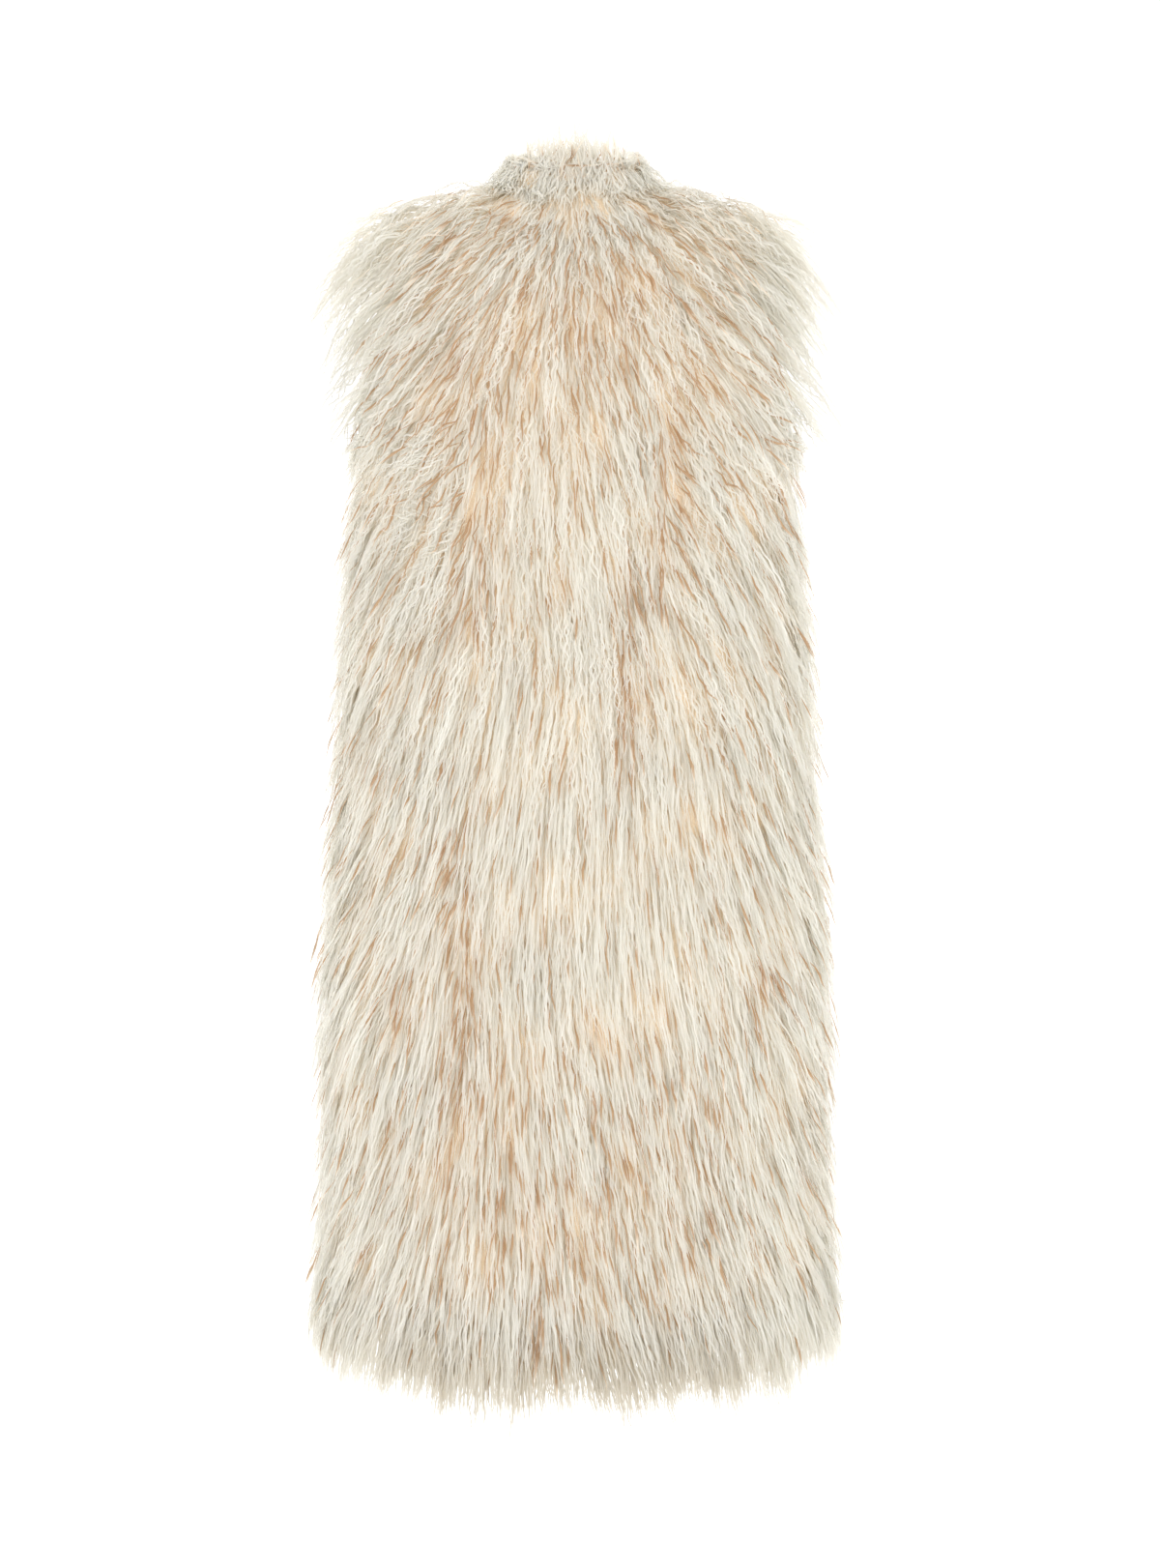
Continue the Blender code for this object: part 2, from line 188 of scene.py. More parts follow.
# The collar's locks.
COLLAR_LOCKS_END = 0.98
COLLAR_AT_BACK = 0.6
COLLAR_RISE = 0.008
COLLAR_STAND = 3.0
COLLAR_RUFFLE = 0.1
COLLAR_TIPS_Z = 0.055
COLLAR_TIPS_DROP = 0.041
COLLAR_LEAST, COLLAR_FRONT, COLLAR_DOWN = 0.010, 0.026, 0.034
COLLAR_LENGTH_SPREAD = 0.15
COLLAR_UPWARD, COLLAR_SIDE_DOWNWARD = 0.55, 0.25
COLLAR_SPLAY = 0.25
COLLAR_DOWN_RISE, COLLAR_DOWN_SIDE_RISE = 1.4, 0.3
# The collar's tone; its sides, which lie in shade, are painted paler: painted light.
COLLAR_TONE, COLLAR_SIDE_PAINTED_LIGHT = 0.66, 0.24
COLLAR_PALER = 0.02
# How far the collar's slits sink into the painted shade.
COLLAR_SLITS = (0.45, 0.80)

# The strands of a lock: how far each may differ from the others.
STRAND_LENGTH = (0.74, 1.0)
STRAND_WIDTH = (0.65, 1.35)
STRAND_ROLL = 0.35
TIP_GATHER = (0.1, 0.6)
WAVE_LENGTH_BY_LOCK = (0.75, 1.35)
WAVE_LENGTH_BY_STRAND = (0.9, 1.1)
WAVE_START = (-0.8, 0.8)
WAVE_SIZE = (0.3, 1.5)
WAVE_OUTWARD = 0.6
SLOW_WAVE, SLOW_WAVE_RATE = 0.0015, 0.23
WAVE_GROWS = (0.02, 0.3)
EDGE_NORMAL = 0.3
# A strand's width: root, where it is full, and how it tapers. A slit, a strand of painted shade, opens in its
# middle.
STRAND_ROOT, STRAND_FULL, STRAND_TAPER = 0.6, (0, 0.25), 2.6
SLIT_OPENS, SLIT_TAPER = (0.3, 0.7), 4

# Thicker pile, as extra locks for each plain one: over the hem, by the armholes and along the neck.
HEM_THICKER, HEM_THICKER_V = 1.9, 0.04
ARMHOLE_THICKER = 0.8
NECK_THICKER = 1.5
# Painted shade slits: more of them below the neck, low in the middle and at the partings, fewer over the hem.
SLITS_BELOW_NECK, SLITS_LOW = 2.8, 1.2
SLITS_LOST_AT_HEM = 0.75
SLITS_AT_PARTINGS, SLITS_FROM_PARTING = 9.0, 0.006
SLIT_DEPTH = (0.95, 1.15)
# Fewer painted shade slits show at the sides and in a band of the back, away from its partings.
Band = namedtuple("Band", "top bottom")
BAND_PAST_END, BAND_WITHIN_END = 0.03, 0.02
CALM_BAND = Band(top=-0.300, bottom=-0.700)
CALM_IN_BAND, CALM_FROM_PARTING = 0.7, 0.010
SLITS_LOST_TO_CALM = 0.5
# Longer locks hang at the foot of the armholes.
ARMHOLE_FOOT = Band(top=-0.110, bottom=-0.230)

# Where an effect starts and is full: distances from the middle, heights, and shares of a panel.
MIDDLE_X = (0.07, 0.13)
SIDE_X = (0.10, 0.18)
SHOULDER_END_X = (0.09, 0.16)
ARMHOLE_X = (0.05, 0.17)
ARMHOLE_LOW_Z, ARMHOLE_HIGH_Z = (-0.20, -0.13), (-0.05, -0.01)
ARMHOLE_S, ARMHOLE_V = (0.75, 1.0), (0.70, 0.76)
ARMHOLE_FOOT_X = (0.13, 0.18)
ARMHOLE_RIM_X = (0.14, 0.19)
NECK_CENTRE = (0, 0, 0.01)
NECK_REACH = (0.07, 0.13)
BELOW_NECK_Z = (-0.25, -0.10)
LOW_Z = (-0.72, -0.82)
SWELL_LOW_Z = (-0.85, -1.0)
RIDGE_V, RIDGE_FROM_NECK = (0.84, 0.97), 0.7
NECK_V, SLIT_HEM_V, HEM_PAINTED_SHADE_V = (0.90, 1.0), (0.03, 0.10), (0.0, 0.07)
SIDE_FACING = (0.6, 0.95)
HEM_SIDE_S = (0.4, 0.8)

# Places where the pile parts: combed away from a line at x, between two heights.
Parting = namedtuple("Parting", "x top bottom turn width")
PARTINGS = (
    Parting(x=-0.084, top=-0.150, bottom=-0.390, turn=12, width=0.020),
    Parting(x=0.074, top=-0.200, bottom=-0.370, turn=14, width=0.022),
    Parting(x=0.044, top=-0.320, bottom=-0.520, turn=6, width=0.012),
    Parting(x=-0.094, top=-0.560, bottom=-0.790, turn=7, width=0.014),
    Parting(x=-0.028, top=-0.930, bottom=-1.020, turn=8, width=0.014),
    Parting(x=-0.150, top=-0.690, bottom=-0.730, turn=16, width=0.016),
    Parting(x=0.156, top=-0.690, bottom=-0.730, turn=16, width=0.016),
)
# Bands of the back where the pile near the middle leans to the coat's right, in degrees.
Lean = namedtuple("Lean", "top bottom turn")
LEANS = (
    Lean(top=-0.140, bottom=-0.370, turn=10),
    Lean(top=-0.690, bottom=-1.060, turn=9),
)
LEAN_WIDTH = 0.11
# Ruffled places: locks there are turned outward, curlier, and lie less straight.
Ruffle = namedtuple("Ruffle", "x z radius turn curl")
RUFFLES = (
    Ruffle(x=-0.102, z=-0.225, radius=0.024, turn=42, curl=1.6),
    Ruffle(x=-0.108, z=-0.282, radius=0.024, turn=28, curl=3.0),
    Ruffle(x=0.094, z=-0.250, radius=0.024, turn=18, curl=1.2),
    Ruffle(x=0.105, z=-0.440, radius=0.022, turn=14, curl=1.0),
)
RUFFLE_SPREAD = 0.6

# Colours of the pile by level, from deep between the locks to the tips on top, for warm and pale strands:
# painted shade, brown and peach low in the pile where the shade falls, cream on top.
LEVELS = (0.0, 0.15, 0.32, 0.6)
# A point's level, and so its painted shade, follows its height in the pile and its share along the strand.
LEAST_PILE_LEVEL = 0.16
LEVEL_BY_HEIGHT, LEVEL_BY_LENGTH, LEVEL_TO_TIP = 0.8, 0.3, 0.06
WARM_COLOURS = ((0.28, 0.16, 0.07), (0.80, 0.69, 0.55), (0.80, 0.755, 0.66), (0.715, 0.675, 0.595))
PALE_COLOURS = ((0.48, 0.265, 0.11), (0.965, 0.89, 0.79), (0.967, 0.955, 0.912), (0.951, 0.958, 0.937))
# Tone runs from warm, 0, to pale, 1: a base, and what each place adds or takes away. The sides are painted
# paler, painted light; the hem, the shoulder ridge and the armhole rims are painted darker, painted shade;
# the neck is a little darker.
TONE = 0.82
SIDE_PAINTED_LIGHT, TONE_AT_NECK, RIDGE_PAINTED_SHADE = 0.06, 0.05, 0.04
HEM_PAINTED_SHADE, HEM_SHADE_EASED_AT_SIDE, ARMHOLE_PAINTED_SHADE = 0.72, 0.6, 0.45
TONE_PATCHES = 0.04
TONE_BY_LOCK, TONE_BY_STRAND, TONE_ALONG = 0.05, 0.07, 0.05
TONE_ENDS = (0.03, 0.97)
# What the neck and the calm places add to the level: less painted shade, which at the sides is painted light.
PALER_AT_NECK, PALER_WHERE_CALM = 0.06, 0.08

# The surfaces. Light passes through the strands a little warmer than it falls on them.
FUR_ROUGHNESS, FUR_SPECULAR = 0.58, 0.15
FUR_THROUGH = 0.63
FUR_THROUGH_TINT = (1.0, 0.98, 0.943, 1.0)
UV_HALF_WIDTH, UV_MARGIN = 0.012, 0.02
Backing = namedtuple("Backing", "name light dark stitches")
BACKING_OUTSIDE = Backing("fur_backing_outside", (0.80, 0.66, 0.49), (0.68, 0.53, 0.37), 900.0)
BACKING_INSIDE = Backing("fur_backing_inside", (0.80, 0.73, 0.62), (0.62, 0.54, 0.43), 700.0)
BACKING_ROUGHNESS, BACKING_SHEEN = 0.85, 0.2
BACKING_STOPS = (0.15, 0.7)
MOTTLE_SCALE, MOTTLE_DETAIL, MOTTLE_BASE = 60.0, 4.0, 0.25
STITCH_BUMP, STITCH_HEIGHT = 0.35, 0.0008

# The stage: four soft lamps round the coat, and a level camera behind it.
FLOOR_HALF_SIZE, FLOOR_Z = 12.0, -1.42
FLOOR_COLOUR, FLOOR_ROUGHNESS = (0.97, 0.97, 0.97, 1.0), 0.9
WORLD_COLOUR, WORLD_STRENGTH = (1.0, 1.0, 1.0, 1.0), 1.30
LAMP_SIZE, LAMP_POWER = 2.4, 30.0
LAMP_TARGET = Vector((0, 0, -0.5))
LAMP_PLACES = {
    "key_left": Vector((-2.4, -3.4, 0.5)),
    "key_right": Vector((2.4, -3.4, 0.5)),
    "front_left": Vector((-2.4, 3.4, 0.5)),
    "front_right": Vector((2.4, 3.4, 0.5)),
}
CAMERA_LENS, CAMERA_SENSOR = 79.8, 36.0
CAMERA_PLACE = (0.0045, -3.2, -0.545)

rng = np.random.default_rng(SEED)


def smooth_step(low, high, x):
    t = np.clip((x - low) / (high - low), 0.0, 1.0)
    return t * t * (3.0 - 2.0 * t)


def unit(vectors):
    return vectors / np.maximum(np.linalg.norm(vectors, axis=-1, keepdims=True), 1e-12)


def section_size(z, column):
    """A half width or depth at a height, on a smooth curve through the sections."""
    zs = np.array([row.z for row in SECTIONS])
    sizes = np.array([getattr(row, column) for row in SECTIONS])
    slopes = np.gradient(sizes, zs)
    i = np.clip(np.searchsorted(zs, z) - 1, 0, len(zs) - 2)
    step = zs[i + 1] - zs[i]
    t = np.clip((z - zs[i]) / step, 0.0, 1.0)
    return (
        (1 + 2 * t) * (1 - t) ** 2 * sizes[i]
        + t * (1 - t) ** 2 * step * slopes[i]
        + t * t * (3 - 2 * t) * sizes[i + 1]
        + t * t * (t - 1) * step * slopes[i + 1]
    )


def top_edge(s, face):
    """The neck seam from the middle to the neck point, then the shoulder seam out to its tip."""
    share = NECK_SHARE[face]
    angle = np.clip(s / share, 0, 1) * math.pi / 2
    along = np.clip((s - share) / (1 - share), 0, 1)
    x = NECK_HALF_WIDTH * np.sin(angle) + along * (SHOULDER_HALF_WIDTH - NECK_HALF_WIDTH)
    y = face * NECK_DEPTH[face] * np.cos(angle)
    middle = NECK_MIDDLE_Z[face]
    z = middle + (NECK_POINT_Z - middle) * np.sin(angle) ** 2 - SHOULDER_DROP * along
    return x, np.where(along > 0, 0.0, y), z


def hem_height(face, angle):
    """The height of the pile's hem, round from the middle to the side."""
    return HEM_SIDE_Z + (HEM_MIDDLE_Z[face] - HEM_SIDE_Z) * np.cos(angle) ** 2


def cloth_point(panel, s, v):
    """A point of a panel's cloth: v runs from the cloth's hem up to the neck or shoulder."""
    face = panel.face
    s = np.clip(s, -1, 1)
    sign = np.where(s < 0, -1.0, 1.0) * panel.mirror
    s = np.maximum(np.abs(s), 1e-6)
    w = np.clip((v - UNDERARM_V) / (1 - UNDERARM_V), 0, 1)
    from_seam = np.clip((s - BACK_SEAM) / (1 - BACK_SEAM), 0, 1)
    swell = np.clip(np.sin(math.pi * w), 0, 1)
    cut = (ARMHOLE_FULLNESS - ARMHOLE_TAPER * w) * swell ** (0.5 + 0.5 * smooth_step(0.3, 1.0, w))
    s = s - ARMHOLE_CUT[face] * cut * from_seam
    angle = s * math.pi / 2
    hem_z = hem_height(face, angle) + PILE_PAST_HEM
    z = hem_z + (UNDERARM_Z - hem_z) * np.clip(v / UNDERARM_V, 0, 1)
    power = 2 / SQUARENESS
    x = section_size(z, "half_width") * np.sin(angle) ** power
    y = face * section_size(z, DEPTH_COLUMN[face]) * np.clip(np.cos(angle), 0, 1) ** power
    top_x, top_y, top_z = top_edge(s, face)
    roundness = 1.0 - SHOULDER_FLATNESS * smooth_step(0.0, 1.2 * NECK_SHARE[face], s)
    x = x + (top_x - x) * w**2
    y = top_y + (y - top_y) * (1 - w**SHOULDER_BEND) ** roundness
    z = z + (top_z - z) * w
    return np.stack([x * sign, y, z], axis=-1)


def collar_point(turn, height):
    """A point of the collar: turn from -1 to 1 round the neck from the back, height from 0 to 1."""
    side, share = np.where(turn < 0, -1.0, 1.0), np.abs(turn)
    at_back = share < COLLAR_BACK_SHARE
    from_middle = np.where(at_back, share / COLLAR_BACK_SHARE, (1 - share) / (1 - COLLAR_BACK_SHARE))
    angle = from_middle * math.pi / 2
    depth = np.where(at_back, -NECK_BACK_DEPTH, NECK_FRONT_DEPTH)
    middle = np.where(at_back, NAPE_Z, FRONT_NECK_Z)
    lean = COLLAR_LEAN * height
    x = side * NECK_HALF_WIDTH * np.sin(angle) - lean * side * np.sin(angle)
    y = depth * np.cos(angle) - lean * np.sign(depth) * np.cos(angle)
    z = middle + (NECK_POINT_Z - middle) * np.sin(angle) ** 2 + COLLAR_LIFT + COLLAR_HEIGHT * height
    return np.stack([x, y, z], axis=-1)


def tangents_of(point, a, b):
    """Short steps along a surface point(a, b), in both directions."""
    along_a = point(a + TANGENT_STEP, b) - point(a - TANGENT_STEP, b)
    ahead, behind = np.clip(b + TANGENT_STEP, 0, 1), np.clip(b - TANGENT_STEP, 0, 1)
    return along_a, point(a, ahead) - point(a, behind)


def normals_of(point, a, b, flip):
    """Outward directions of a surface point(a, b), with its two tangents."""
    along_a, along_b = tangents_of(point, a, b)
    return unit(np.cross(along_a, along_b)) * flip, unit(along_a), unit(along_b)


def panel_flip(panel):
    return -panel.face * panel.mirror


def add_object(name, data):
    obj = bpy.data.objects.new(name, data)
    bpy.context.scene.collection.objects.link(obj)
    return obj


def clean_mesh(name, points, faces, materials, face_material=None):
    mesh = bpy.data.meshes.new(name)
    mesh.from_pydata(points.tolist(), [], faces)
    for material in materials:
        mesh.materials.append(material)
    if face_material is not None:
        mesh.polygons.foreach_set("material_index", face_material)
    mesh.shade_smooth()
    mesh.set_sharp_from_angle(angle=SHARP_ANGLE)
    return add_object(name, mesh)


def quads_of(index):
    """The corners of each square of a grid of point numbers."""
    return np.stack([index[:-1, :-1], index[:-1, 1:], index[1:, 1:], index[1:, :-1]], -1).reshape(-1, 4)


def shell(name, inside, normal, materials):
    """A thin closed cloth between a grid and the same grid moved out by the cloth's thickness."""
    rows, columns = inside.shape[:2]
    points = np.concatenate([(inside + normal * CLOTH).reshape(-1, 3), inside.reshape(-1, 3)])
    outer = np.arange(rows * columns).reshape(rows, columns)
    rim = np.concatenate([outer[0], outer[1:, -1], outer[-1, -2::-1], outer[-2:0:-1, 0]])
    rim_in = rim + rows * columns
    sides = np.stack([rim, rim_in, np.roll(rim_in, -1), np.roll(rim, -1)], -1)
    out_faces, in_faces = quads_of(outer), quads_of(outer + rows * columns)[:, ::-1]
    faces = np.concatenate([out_faces, in_faces, sides])
    a, b, c = points[out_faces[0, :3]]
    if np.dot(np.cross(b - a, c - a), normal[0, 0]) < 0:
        faces = faces[:, ::-1]
    slots = np.concatenate([np.zeros(len(out_faces), int), np.ones(len(in_faces) + len(sides), int)])
    return clean_mesh(name, points, faces.tolist(), materials, slots)


def grid_size(grid):
    """Width, length and area of a panel laid flat."""
    across = np.linalg.norm(np.diff(grid, axis=1), axis=-1).sum(axis=1).max()
    along = np.linalg.norm(np.diff(grid, axis=0), axis=-1).sum(axis=0).max()
    a, b = grid[1:, :-1] - grid[:-1, :-1], grid[:-1, 1:] - grid[:-1, :-1]
    return float(across), float(along), float(np.linalg.norm(np.cross(a, b), axis=-1).sum())


def even_spread(count, density_at, first, last):
    """Roots spread evenly over a surface: a low-discrepancy sequence thinned by density."""
    numbers = np.arange(1, count * SPREAD_TRIES)[:, None]
    a, b, chance = ((numbers * np.array(SPREAD_STEPS) + rng.random(3)) % 1.0).T
    a = first + (last - first) * a
    density = density_at(a, b)
    keep = chance < density / density.max()
    return a[keep][:count], b[keep][:count]


def soft_noise(points, size, seed):
    """A smooth random field in space, about -1 to 1, with lumps of the given size."""
    waves = np.random.default_rng(seed)
    total = np.zeros(len(points))
    for _ in range(NOISE_WAVES):
        direction = waves.normal(size=3)
        direction *= math.tau / size / np.linalg.norm(direction) * waves.uniform(*NOISE_RATES)
        total += np.sin(points @ direction + waves.uniform(0, math.tau))
    return total / NOISE_SCALE


def by_armhole(root):
    """How near each root lies to the upper part of an armhole, from 0 to 1."""
    x, z = np.abs(root[:, 0]), root[:, 2]
    below_shoulder = 1 - smooth_step(*ARMHOLE_HIGH_Z, z)
    return smooth_step(*ARMHOLE_X, x) * smooth_step(*ARMHOLE_LOW_Z, z) * below_shoulder


def between(z, band):
    """1 between a band's bottom and top, falling off softly past them."""
    above_bottom = smooth_step(band.bottom - BAND_PAST_END, band.bottom + BAND_WITHIN_END, z)
    return above_bottom * (1 - smooth_step(band.top - BAND_WITHIN_END, band.top + BAND_PAST_END, z))


def at_partings(root, spread):
    """How near each root of the back lies to a parting line, from 0 to 1."""
    near = [np.exp(-(((root[:, 0] - p.x) / spread) ** 2)) * between(root[:, 2], p) for p in PARTINGS]
    return np.max(near, axis=0)


def comb_angle(root, normal, face, layer):
    """How far out from straight down the pile is combed, in radians, and how much it is ruffled."""
    x, z = np.abs(root[:, 0]), root[:, 2]
    straighter = COMB_STRAIGHTER * (1 - smooth_step(*STRAIGHTER_X, x)) * smooth_step(*STRAIGHTER_Z, z)
    angle = np.arctan2(x, np.maximum(COMB_CENTRE_Z - z, COMB_LEAST_DROP)) * (1 - straighter)
    angle += COMB_LOW_OUT * (x / LOW_OUT_X) ** 1.5 * smooth_step(*LOW_OUT_Z, z)
    facing_side = 1 - smooth_step(*BELOW_ARMS_FACING, np.abs(normal[:, 1]))
    angle *= 1 - COMB_BELOW_ARMS * smooth_step(*BELOW_ARMS_Z, z) * facing_side
    angle += COMB_AT_ARMHOLE * by_armhole(root)
    patches = COMB_PATCHES * soft_noise(root, *COMB_NOISE)
    angle += patches + COMB_FINE_PATCHES * soft_noise(root, *COMB_FINE_NOISE)
    ruffle = RUFFLE_HIGH * smooth_step(*RUFFLE_HIGH_Z, z) + RUFFLE_AT_ARMHOLE * by_armhole(root)
    if face == FRONT:
        return angle, ruffle
    side = np.where(root[:, 0] < 0, -1.0, 1.0)
    for lean in LEANS:
        angle += side * math.radians(lean.turn) * np.exp(-((x / LEAN_WIDTH) ** 2)) * between(z, lean)
    if layer.name == "under":
        return angle, ruffle
    for p in PARTINGS:
        away = root[:, 0] - p.x
        near = np.exp(-((away / p.width) ** 2))
        angle += side * np.sign(away) * math.radians(p.turn) * near * between(z, p)
    for r in RUFFLES:
        near = np.exp(-((root[:, 0] - r.x) ** 2 + (z - r.z) ** 2) / r.radius**2)
        angle += near * math.radians(r.turn) * (1 + RUFFLE_SPREAD * rng.normal(size=len(root)))
        ruffle += r.curl * near
    return angle, ruffle


def shade_slit_density(panel, root, v):
    """How close the slits, strands of painted shade, lie at each root, where 1 is plain pile."""
    x, z = np.abs(root[:, 0]), root[:, 2]
    middle = 1 - smooth_step(*MIDDLE_X, x)
    below_neck, low = smooth_step(*BELOW_NECK_Z, z), smooth_step(*LOW_Z, z)
    closer = 1 + (SLITS_BELOW_NECK * below_neck + SLITS_LOW * low) * middle
    closer *= 1 - SLITS_LOST_AT_HEM * (1 - smooth_step(*SLIT_HEM_V, v))
    return closer + SLITS_AT_PARTINGS * at_partings(root, SLITS_FROM_PARTING) * (panel.face == BACK)


def lock_density(panel, layer, s, v):
    """How many locks root at a place: by the area of the cloth there, and by how close they lie."""
    point = partial(cloth_point, panel)
    along_s, along_v = tangents_of(point, s, v)
    area = np.linalg.norm(np.cross(along_s, along_v), axis=-1)
    if layer.deep > 0:
        return area * shade_slit_density(panel, point(s, v), v)
    thicker = 1 + HEM_THICKER * np.exp(-((v / HEM_THICKER_V) ** 2))
    thicker += ARMHOLE_THICKER * smooth_step(*ARMHOLE_S, np.abs(s)) * smooth_step(*ARMHOLE_V, v)
    thicker += NECK_THICKER * smooth_step(*NECK_V, v) * (np.abs(s) < NECK_SHARE[panel.face])
    return area * thicker


def lock_lengths(panel, layer, s, root, angle, to_neck):
    """Shorter by the neck, longer by the armholes, and down to a ragged line at the hem."""
    x, z = np.abs(root[:, 0]), root[:, 2]
    reach = hem_height(panel.face, s * math.pi / 2) - HEM_DROP
    reach += HEM_SIDE_RAISE * smooth_step(*HEM_SIDE_S, np.abs(s))
    reach += HEM_RAGGED * soft_noise(root * [1, 1, 0], *HEM_NOISE)
    to_hem = (z - reach) * HEM_SLACK / np.maximum(np.cos(angle), HEM_LEAST_DROP)
    length = LOCK_LENGTH * np.exp(LOCK_LENGTH_SPREAD * rng.normal(size=len(root)))
    armhole_foot = smooth_step(*ARMHOLE_FOOT_X, x) * between(z, ARMHOLE_FOOT)
    length *= 1 - NECK_SHORTER * to_neck + ARMHOLE_LONGER * by_armhole(root) + ARMHOLE_LONGER * armhole_foot
    if layer.deep > 0:
        length *= SLIT_LENGTH_SHARE
    return np.maximum(np.minimum(length, to_hem), LEAST_LENGTH)


def panel_locks(panel, layer, count):
    """The locks of one layer of a panel: where they root, how they are combed, how long and how high."""
    point = partial(cloth_point, panel)
    s, v = even_spread(count, partial(lock_density, panel, layer), panel.first, panel.last)
    root = point(s, v)
    at_side = smooth_step(*SIDE_X, np.abs(root[:, 0]))
    from_parting = 1 - at_partings(root, CALM_FROM_PARTING)
    calm = np.maximum(at_side, CALM_IN_BAND * between(root[:, 2], CALM_BAND) * from_parting)
    kept = (root[:, 2] < layer.top) & (root[:, 2] >= layer.bottom)
    kept &= rng.random(len(root)) >= SLITS_LOST_TO_CALM * layer.deep * calm
    s, v, root, at_side, calm = s[kept], v[kept], root[kept], at_side[kept], calm[kept]
    x, z, count = np.abs(root[:, 0]), root[:, 2], len(root)

    normal, around, up = normals_of(point, s, v, panel_flip(panel))
    around = unit(around - up * (around * up).sum(-1, keepdims=True))
    around *= np.where(s < 0, -1.0, 1.0)[:, None]
    angle, ruffle = comb_angle(root, normal, panel.face, layer)
    angle += COMB_SPREAD * rng.normal(size=count)
    flow = unit(around * np.sin(angle)[:, None] - up * np.cos(angle)[:, None])

    to_neck = 1 - smooth_step(*NECK_REACH, np.linalg.norm(root - np.array(NECK_CENTRE), axis=1))
    neck_share = NECK_SHARE[panel.face]
    ridge = smooth_step(*RIDGE_V, v) * smooth_step(neck_share * RIDGE_FROM_NECK, neck_share, np.abs(s))
    length = lock_lengths(panel, layer, s, root, angle, to_neck)
    swell = SIDE_SWELL + SIDE_SWELL_LOW * smooth_step(*SWELL_LOW_Z, z)
    swell = 1 + swell * smooth_step(*SIDE_FACING, np.abs(normal[:, 0]))
    full = LOCK_RISE * (1 - NECK_LOWER * to_neck) * swell
    rise = full * rng.uniform(layer.low, layer.high, count)
    on_ridge = rng.uniform(*RIDGE_RISE, count) + SHOULDER_END_RISE * smooth_step(*SHOULDER_END_X, x)
    rise += ridge * LOCK_RISE * on_ridge

    # Painted light and shade by place: paler at the sides; darker over the hem, on the shoulder ridge and at
    # the armhole rims; a little darker by the neck.
    painted_light_by_place = SIDE_PAINTED_LIGHT * at_side - TONE_AT_NECK * to_neck
    painted_light_by_place -= HEM_PAINTED_SHADE * (1 - smooth_step(*HEM_PAINTED_SHADE_V, v)) * (1 - HEM_SHADE_EASED_AT_SIDE * at_side)
    painted_light_by_place -= RIDGE_PAINTED_SHADE * ridge + ARMHOLE_PAINTED_SHADE * by_armhole(root) * smooth_step(*ARMHOLE_RIM_X, x)
    tone = TONE + painted_light_by_place + TONE_PATCHES * soft_noise(root, *TONE_NOISE) + rng.normal(0, TONE_BY_LOCK, count)
    # Less painted shade by the neck and in calm places; at the sides this is painted light.
    paler = (PALER_AT_NECK * to_neck + PALER_WHERE_CALM * calm) * (layer.deep <= 0)
    # Slits sink to the lowest level: strands of painted shade.
    paler -= layer.deep * rng.uniform(*SLIT_DEPTH, count)
    pull, stand = np.full(count, GRAVITY), LOCK_STAND + RIDGE_STAND * ridge
    return Locks(root + normal * CLOTH, normal, flow, length, rise, full, stand, pull, tone, ruffle, paler)


def collar_locks(layer, count):
    """Short locks of the collar: most brushed up to one height, some laid down over the neck seam."""
    turn, height = rng.uniform(-COLLAR_LOCKS_END, COLLAR_LOCKS_END, count), rng.uniform(0.0, 1.0, count)
    root = collar_point(turn, height)
    normal, around, up = normals_of(collar_point, turn, height, 1.0)
    to_side = (root[:, 0] / NECK_HALF_WIDTH) ** 2
    upward = rng.random(count) < COLLAR_UPWARD - COLLAR_SIDE_DOWNWARD * to_side
    splay = COLLAR_SPLAY * around * rng.normal(size=(count, 1))
    flow = unit(up * np.where(upward, 1.0, -1.0)[:, None] + splay)
    tips_z = COLLAR_TIPS_Z - COLLAR_TIPS_DROP * (root[:, 0] / NECK_HALF_WIDTH) ** 4
    to_tips = np.maximum(tips_z - root[:, 2], COLLAR_LEAST)
    to_tips = np.where(np.abs(turn) < COLLAR_AT_BACK, to_tips, COLLAR_FRONT)
    length = np.where(upward, to_tips, COLLAR_DOWN) * np.exp(COLLAR_LENGTH_SPREAD * rng.normal(size=count))
    rise = COLLAR_RISE * rng.uniform(layer.low, layer.high, count)
    rise *= np.where(upward, 1.0, COLLAR_DOWN_RISE + COLLAR_DOWN_SIDE_RISE * to_side)
    full, stand = np.full(count, COLLAR_RISE), np.full(count, COLLAR_STAND)
    # Painted light: the collar's sides are paler.
    tone = COLLAR_TONE + COLLAR_SIDE_PAINTED_LIGHT * to_side + rng.normal(0, TONE_BY_LOCK, count)
    pull, ruffle = np.where(upward, 0.0, GRAVITY), np.full(count, COLLAR_RUFFLE)
    # The collar's slits sink toward the painted shade.
    paler = COLLAR_PALER - layer.deep * rng.uniform(*COLLAR_SLITS, count)
    return Locks(root + normal * CLOTH, normal, flow, length, rise, full, stand, pull, tone, ruffle, paler)


